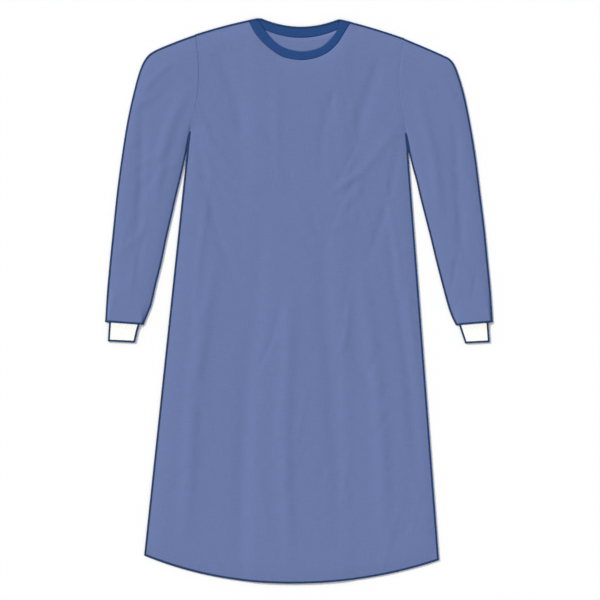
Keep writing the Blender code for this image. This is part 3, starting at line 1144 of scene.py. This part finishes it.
def mouthPath(table, ringOf, halfHeight, lowest):
    # closed centre line round a tube's open end, the same distance up each of its columns
    last = len(table) - 1
    rings = []
    for place in (last, last - seam["columnStep"]):
        row = smoothRow(table, place)
        ring = []
        for distance, z in ringOf(row, place):
            held = min(max(distance, halfHeight), rowWidth(row) - halfHeight)
            ring.append(world(*onRow(row, held), max(z, lowest)))
        rings.append(ring)
    points = [end + (near - end).normalized() * seamInset * mm for end, near in zip(*rings)]
    startX, startDrop, endX, endDrop = table[-1]
    outward = Vector((startDrop - endDrop, startX - endX, 0)).normalized()
    if outward.y > 0:
        outward = -outward
    count = len(points)
    return {
        "points": points, "sides": [outward] * count, "halfHeights": [halfHeight] * count,
        "closed": True,
    }


def aroundPath(point, side, run, halfHeight, angle, extra):
    # a place on the roll's flattened round section
    up = side.cross(run).normalized()
    cosine, sine = math.cos(angle), math.sin(angle)
    wide = math.copysign(abs(cosine) ** seam["square"], cosine) * (seam["halfWidth"] + extra)
    high = math.copysign(abs(sine) ** seam["square"], sine) * (halfHeight + extra)
    return point + (side * wide + up * high) * mm


def makeRoll(name, path):
    rows, grain = [], []
    runs = runsOf(path["points"], path["closed"])
    sides = seam["sides"]
    for k, (point, side, run) in enumerate(zip(path["points"], path["sides"], runs)):
        angles = [2 * math.pi * n / sides for n in range(sides)]
        rows.append([aroundPath(point, side, run, path["halfHeights"][k], a, 0.0) for a in angles])
        grain.append([(n * mm, k * seam["spacing"] * mm) for n in range(sides + 1)])
    if path["closed"]:
        rows.append(rows[0])
        grain.append(grain[0])
    bm = gridMesh(rows, grain, closed=True)
    if not path["closed"]:
        bmesh.ops.holes_fill(bm, edges=bm.edges, sides=sides)
        bmesh.ops.recalc_face_normals(bm, faces=bm.faces)
    return addPiece(name, bm, edgeCloth, "neck_band_cloth")


def windThread(name, path):
    points, closed = list(path["points"]), path["closed"]
    runs, sides, heights = runsOf(points, closed), list(path["sides"]), list(path["halfHeights"])
    if closed:
        for values in (points, runs, sides, heights):
            values.append(values[0])
    lengths = [(b - a).length / mm for a, b in zip(points, points[1:])]
    total = sum(lengths)
    turns = round(total / seam["pitch"])
    count = turns * seam["turnPoints"]
    curve = bpy.data.curves.new(name, "CURVE")
    curve.dimensions = "3D"
    curve.bevel_depth = seam["thread"] * mm
    curve.bevel_resolution = 0  # four sides are enough for a thread this fine
    spline = curve.splines.new("POLY")
    spline.points.add(count - 1)
    spline.use_cyclic_u = closed
    targets = [total * k / count for k in range(count)]
    for k, (index, t) in enumerate(walk(lengths, targets)):
        spline.points[k].co = (*aroundPath(
            points[index].lerp(points[index + 1], t),
            sides[index].lerp(sides[index + 1], t).normalized(),
            runs[index].lerp(runs[index + 1], t).normalized(),
            mix(heights[index], heights[index + 1], t),
            2 * math.pi * turns * k / count,
            seam["thread"] * seam["threadOut"],
        ), 1)
    holder = bpy.data.objects.new(name + "Line", curve)
    bpy.context.scene.collection.objects.link(holder)
    bm = bmesh.new()
    depsgraph = bpy.context.evaluated_depsgraph_get()
    mesh = bpy.data.meshes.new_from_object(holder.evaluated_get(depsgraph))
    bm.from_mesh(mesh)
    bpy.data.meshes.remove(mesh)
    bpy.data.objects.remove(holder)
    return addPiece(name, bm, navyThread, "neck_band_cloth")


seamPieces = {}  # what is sewn on each sheet


def overlock(sheetName, name, path, wound=True):
    made = [makeRoll(name + "Edge", path)]
    if wound:
        made.append(windThread(name + "Thread", path))
    seamPieces.setdefault(sheetName, []).extend(made)


def onFloor(x, drop):
    return 0.0


def armpitShift(side, drop):
    # just below an armpit the sleeve's edge and the body's lie against each other
    half = sleeveHalf(side)
    places = steps(0, sleeve["besideBody"], samples["armpit"])
    edge = [smoothRow(sleeveRows[side], place)[2:] for place in places]
    past = drop - half["armpit"][1]
    for (x, top), (nextX, bottom) in zip(edge, edge[1:]):
        if top <= drop < bottom:
            gap = abs(mix(x, nextX, (drop - top) / (bottom - top)) - sideX(half, drop))
            return gap / 2 * (1 - ease((past - seam["closed"]) / seam["opens"]))
    return 0.0


def overlockBody():
    for side, half in (("Right", rightHalf), ("Left", leftHalf)):
        sign = -1 if side == "Right" else 1
        line = [
            (sideX(half, drop) + sign * armpitShift(side.lower(), drop), drop)
            for drop in steps(half["armpit"][1], half["corner"][1], samples["side"])
        ]
        path = edgePath(line, clothSide("body"), seamTop, onFloor)
        overlock("frontPanel", "sideSeam" + side, path)
        (neckX, _), (shoulderX, _) = half["neck"], half["shoulder"]
        line = [(x, shoulderDrop(half, x)) for x in steps(neckX, shoulderX, samples["shoulder"])]
        path = edgePath(line, clothSide("body"), shoulderTop, onFloor)
        overlock("frontPanel", "shoulderSeam" + side, path)
    rightX, leftX, edge = rightHalf["corner"][0], leftHalf["corner"][0], gown["freeEdge"]
    slack = seam["slack"]
    hems = (
        ("frontPanel", "hemFront", rightX, leftX, True, seamTop,
         lambda x, drop: gown["layer"] * (1 + lap(x)) - slack),
        ("backPanelRight", "hemBackRight", rightX, edge, False,
         lambda x, drop: innerBackUnder(x) + gown["wall"], lambda x, drop: innerBackUnder(x) - slack),
        ("backPanelLeft", "hemBackLeft", -edge, leftX, False,
         lambda x, drop: gown["wall"], lambda x, drop: -slack),
    )
    for sheetName, name, start, end, wound, top, low in hems:
        line = [(x, hemDrop(x)) for x in steps(start, end, samples["hem"])]
        overlock(sheetName, name, edgePath(line, clothSide("hem"), top, low), wound)


def overlockNeck():
    ends = (rightHalf["neck"][0], leftHalf["neck"][0])
    line = [backBandPlace(x, x, 1) for x in steps(*ends, samples["neck"])]
    path = edgePath(
        line, clothSide("body"),
        lambda x, drop: innerBackUnder(x) + gown["wall"] + seam["proud"],
        lambda x, drop: innerBackUnder(x) - seam["slack"],
    )
    overlock("neckBandBackRight", "neckTopBack", path)


def sleeveTop(x, drop):
    return gown["layer"] + gown["wall"] + seam["proud"]


def overlockSleeves():
    for side, table in sleeveRows.items():
        sheetName = "sleeve" + side.capitalize()
        rows = [smoothRow(table, place) for place in steps(0, lastRow, samples["sleeve"])]
        sign = -1 if side == "right" else 1
        over = [tuple(row[:2]) for row in rows]
        under = [(row[2] - sign * armpitShift(side, row[3]), row[3]) for row in rows]
        path = edgePath(over, clothSide("overArm", sign), sleeveTop, onFloor, seam["overArm"])
        overlock(sheetName, sheetName + "Over", path)
        path = edgePath(under, clothSide("underArm", sign), sleeveTop, onFloor)
        overlock(sheetName, sheetName + "Under", path)
        path = mouthPath(table, sleeveRing, *seam["sleeveMouth"])
        overlock(sheetName, sheetName + "Mouth", path)


def plainCuffRing(row, place):
    return cuffRing(row, samples["cuffEnd"], 0.0)


def overlockCuffs():
    for side, table in cuffRows.items():
        sheetName = "cuff" + side.capitalize()
        places = steps(cuff["edgeStart"], len(table) - 1, samples["cuff"])
        rows = [smoothRow(table, place) for place in places]
        towards = clothSide("cuff", -1 if side == "right" else 1)

        def low(x, drop, side=side):
            return cuffLift(side, x, drop)

        def top(x, drop, side=side):
            return cuffLift(side, x, drop) + cuff["height"] + cuff["edgeProud"]
        over = [tuple(row[:2]) for row in rows]
        under = [tuple(row[2:]) for row in rows]
        overlock(sheetName, sheetName + "Over", edgePath(over, towards, top, low))
        overlock(sheetName, sheetName + "Under", edgePath(under, towards, top, low))
        overlock(sheetName, sheetName + "End", mouthPath(table, plainCuffRing, *seam["cuffEnd"]))


overlockBody()
overlockNeck()
overlockSleeves()
overlockCuffs()
print("edges overlocked")

# rows of stitches
stitch = {
    "length": 2.7,
    "pitch": 3.3,
    "thickness": 0.4,
    "facets": (6, 4),  # round it and along it
    "samples": 60,  # points along each row
    "bandInset": 2.2,
    "backRows": (0.1, 0.9),  # shares of the back band's width
    "backSpan": (0.03, 0.99),  # and of its length
    "armholeInsets": (2.2, 7.5),
    "armholeEnds": (7.0, 3.0),  # from the shoulder and from the armpit
    "fromAbove": 30.0,  # height from which a row is laid on its cloth
}


def onSurface(tree, x, drop):
    hit = tree.ray_cast(world(x, drop, stitch["fromAbove"]), Vector((0, 0, -1)))[0]
    return hit if hit else world(x, drop, gown["layer"])


def stitchRows(name, piece, lines, thread, sheetName):
    tree = BVHTree.FromObject(piece, bpy.context.evaluated_depsgraph_get())
    size = Matrix.Diagonal(
        (stitch["length"] * mm, stitch["thickness"] * mm, stitch["thickness"] * mm, 1)
    )
    around, along = stitch["facets"]
    bm = bmesh.new()
    for line in lines:
        places = evenly(line, stitch["pitch"])
        for a, b in zip(places, places[1:]):
            start, end = onSurface(tree, *a), onSurface(tree, *b)
            turn = (end - start).to_track_quat("X", "Z").to_matrix().to_4x4()
            place = Matrix.Translation((start + end) / 2) @ turn @ size
            bmesh.ops.create_uvsphere(
                bm, u_segments=around, v_segments=along, radius=0.5, matrix=place
            )
    slot = "body_cloth" if thread == blueThread else "neck_band_cloth"
    seamPieces.setdefault(sheetName, []).append(addPiece(name, bm, thread, slot))


def sewRows():
    inset = stitch["bandInset"]
    outer = [onRow(row, inset) for row in neckLine]
    inner = [onRow(row, rowWidth(row) - inset) for row in neckLine]
    stitchRows("neckStitchesFront", frontBand, (outer, inner), bindingThread, "neckBandFront")
    lines = []
    for t in stitch["backRows"]:
        lines.append([
            backBandPlace(mix(*rightBandEnds[0], share), mix(*rightBandEnds[1], share), t)
            for share in steps(*stitch["backSpan"], stitch["samples"])
        ])
    stitchRows("neckStitchesBack", backBand, lines, bindingThread, "neckBandBackRight")
    lines = []
    belowShoulder, aboveArmpit = stitch["armholeEnds"]
    for half in halves:
        sign = -1 if half["neck"][0] > 0 else 1
        (_, top), (_, bottom) = half["shoulder"], half["armpit"]
        drops = steps(top + belowShoulder, bottom - aboveArmpit, stitch["samples"])
        for step in stitch["armholeInsets"]:
            lines.append([(sideX(half, drop) + sign * step, drop) for drop in drops])
    stitchRows("armholeStitches", frontPanel, lines, blueThread, "frontPanel")


sewRows()
print("stitches sewn")


def declareCloth():
    rests = {
        "frontPanel": ["backPanelRight", "backPanelLeft"],
        "backPanelRight": ["backPanelLeft"],
        "neckBandFront": ["backPanelRight"],
        "neckBandBackRight": ["neckBandBackLeft"],
    }
    for name, (width, length, area) in clothFlats.items():
        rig.sheet(
            bpy.data.objects[name], flat=(width, length), held="laid", area=area,
            rests_on=rests.get(name, []), with_pieces=seamPieces.get(name, []),
        )


declareCloth()
print("cloth declared")

# floor and light
studio = {
    "floor": {"colour": "F6F6F6", "roughness": 0.9, "gloss": 0.2, "sheen": 0.0},
    "floorSize": 12.0,  # metres
    "floorDrop": 0.4,  # just below the cloth
    "grit": 0.8,
    "world": "FFFFFF",
    "worldStrength": 0.5,
    "lights": (
        # name, direction towards it, strength, width in degrees
        ("key", (-0.63, 0.5, 0.56), 2.8, 16.0),
        ("fill", (0.45, -0.4, 0.8), 0.29, 40.0),
    ),
    "lightDistance": 5.0,  # metres
}


def paintedBoard(name, look):
    # matt white board: flat paint with a very fine roller grain
    material, shader = startMaterial(name, look)
    place = addNode(material, "ShaderNodeTexCoord").outputs["Object"]
    grit = addNode(
        material, "ShaderNodeTexNoise", {"Scale": 1 / (studio["grit"] * mm)}, {"Vector": place}
    ).outputs["Fac"]
    bump = addNode(
        material, "ShaderNodeBump", {"Strength": 0.1, "Distance": 0.0001}, {"Height": grit}
    ).outputs["Normal"]
    material.node_tree.links.new(bump, shader.inputs["Normal"])
    return material


def makeStudio():
    bm = bmesh.new()
    bmesh.ops.create_grid(bm, x_segments=1, y_segments=1, size=studio["floorSize"] / 2)
    bmesh.ops.translate(bm, verts=bm.verts, vec=(0, 0, -studio["floorDrop"] * mm))
    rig.stage(addPiece("floor", bm, paintedBoard("paintedBoard", studio["floor"]), None))
    for name, towards, strength, width in studio["lights"]:  # far-off soft boxes, so even all over
        data = bpy.data.lights.new(name, "SUN")
        data.energy = strength
        data.angle = math.radians(width)
        light = bpy.data.objects.new(name, data)
        light.location = Vector(towards) * studio["lightDistance"]
        light.rotation_euler = (-Vector(towards)).to_track_quat("-Z", "Y").to_euler()
        bpy.context.scene.collection.objects.link(light)
    surroundings = bpy.data.worlds.new("studio")
    surroundings.use_nodes = True
    background = surroundings.node_tree.nodes["Background"]
    background.inputs["Color"].default_value = hexColour(studio["world"])
    background.inputs["Strength"].default_value = studio["worldStrength"]
    bpy.context.scene.world = surroundings
    bpy.context.scene.view_settings.view_transform = "Standard"


makeStudio()
print("studio lit")

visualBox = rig.bounds()
with open("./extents.json", "w") as sizeFile:
    json.dump({"cad": [list(corner) for corner in cadBox],
               "visual": [list(corner) for corner in visualBox]}, sizeFile)
